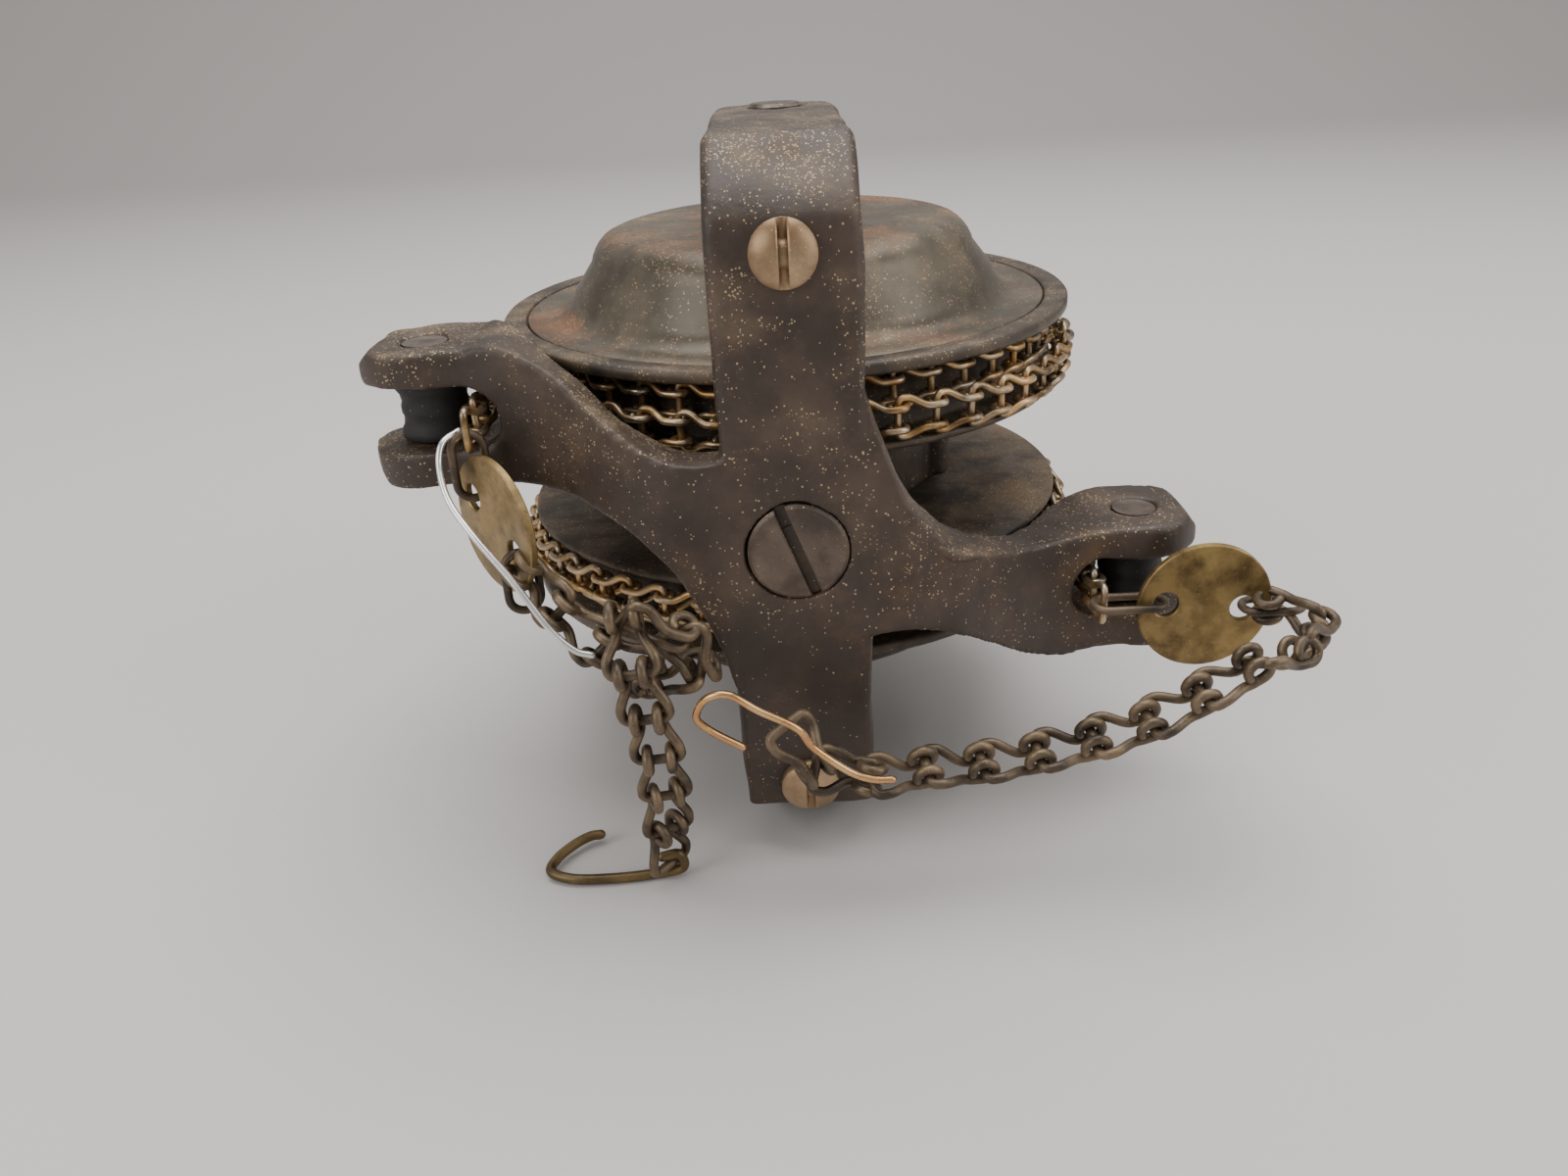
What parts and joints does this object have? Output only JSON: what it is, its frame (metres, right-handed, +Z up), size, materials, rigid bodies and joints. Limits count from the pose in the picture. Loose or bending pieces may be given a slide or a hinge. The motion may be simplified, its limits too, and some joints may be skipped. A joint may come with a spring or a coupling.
{
  "type": "spring-balanced lamp chain lift",
  "caption": "Hanging-lamp chain lift: two spring drums on one axle in a cast cross frame, with guide rollers, stop discs, ladder chains and a hook.",
  "frame": {"origin": "middle of the flat underside of the lower arm, on the drum axle's line", "axes": "+Z up along the drum axle; -Y to the front, the side with the three screws, towards which the chains leave; +X towards the fork of the lower drum's chain"},
  "size_m": [0.1502, 0.1492, 0.1126],
  "materials": {
    "cast_iron_frame": "oxidised umber-brown casting, rough, with pale dust and rust",
    "drum_steel": "dark oxidised metal, tan dust on the brim",
    "cover_steel": "dark olive-grey pressed sheet with reddish rust on top",
    "screw_brass": "aged pinkish brass with verdigris in the slot",
    "bush_brass": "plain turned brass",
    "axle_steel": "dull dark steel",
    "spring_steel": "oiled blue-black spring strip",
    "drum_chain_bronze": "golden-brown wire, silvery where worn, black in the hollows",
    "lamp_chain_bronze": "grey-brown rusty bronze wire",
    "disc_brass": "tarnished olive brass sheet",
    "hook_brass": "aged olive-gold wire",
    "roller_black": "matte black",
    "tie_copper": "bright bare copper wire",
    "tie_steel": "bright tinned wire"
  },
  "bodies": {
    "frame": {"frame_casting": "cast_iron_frame", "hanger_post": "cast_iron_frame", "centre_screw": "cast_iron_frame", "upper_brass_screw": "screw_brass", "lower_brass_screw": "screw_brass", "drum_axle": "axle_steel", "upper_spring_arbor": "axle_steel", "lower_spring_arbor": "axle_steel", "upper_spacer_collar": "axle_steel", "lower_spacer_collar": "axle_steel", "upper_roller_pin": "axle_steel", "lower_roller_pin": "axle_steel", "upper_mainspring": "spring_steel", "lower_mainspring": "spring_steel", "upper_chain_lead": "drum_chain_bronze", "lower_chain_lead": "drum_chain_bronze", "left_lamp_chain": "lamp_chain_bronze", "right_lamp_chain": "lamp_chain_bronze", "left_end_link": "lamp_chain_bronze", "left_disc_ring": "lamp_chain_bronze", "right_disc_ring": "lamp_chain_bronze", "left_lamp_ring": "lamp_chain_bronze", "right_lamp_ring": "lamp_chain_bronze", "left_stop_disc": "disc_brass", "right_stop_disc": "disc_brass", "copper_tie_wire": "tie_copper", "steel_tie_wire": "tie_steel"},
    "upper_drum": {"upper_chain_drum": "drum_steel", "upper_dome_cover": "cover_steel", "upper_drum_bush": "bush_brass", "upper_outer_chain_turn": "drum_chain_bronze", "upper_inner_chain_turn": "drum_chain_bronze"},
    "lower_drum": {"lower_chain_drum": "drum_steel", "lower_dome_cover": "cover_steel", "lower_drum_bush": "bush_brass", "lower_outer_chain_turn": "drum_chain_bronze", "lower_inner_chain_turn": "drum_chain_bronze"},
    "upper_roller": {"upper_guide_roller": "roller_black"},
    "lower_roller": {"lower_guide_roller": "roller_black"},
    "hook": {"chain_hook": "hook_brass"}
  },
  "joints": [
    {"name": "upper_drum_spin", "type": "hinge", "parent": "frame", "child": "upper_drum", "pos_m": [0, 0, 0.056], "axis": [0, 0, 1], "range_deg": [0, 1440], "stiffness_Nm_per_rad": 0.008, "springref_deg": -1799.09},
    {"name": "lower_drum_spin", "type": "hinge", "parent": "frame", "child": "lower_drum", "pos_m": [0, 0, 0.056], "axis": [0, 0, -1], "range_deg": [0, 1440], "stiffness_Nm_per_rad": 0.008, "springref_deg": -1799.09},
    {"name": "upper_roller_spin", "type": "hinge", "parent": "frame", "child": "upper_roller", "pos_m": [-0.0563, -0.033, 0.0732], "axis": [0, 0, 1], "continuous": true},
    {"name": "lower_roller_spin", "type": "hinge", "parent": "frame", "child": "lower_roller", "pos_m": [0.0563, -0.033, 0.0388], "axis": [0, 0, 1], "continuous": true},
    {"name": "hook_swing", "type": "hinge", "parent": "frame", "child": "hook", "pos_m": [-0.024, -0.062, 0.00285], "axis": [0, 1, 0], "range_deg": [0, 60]}
  ]
}
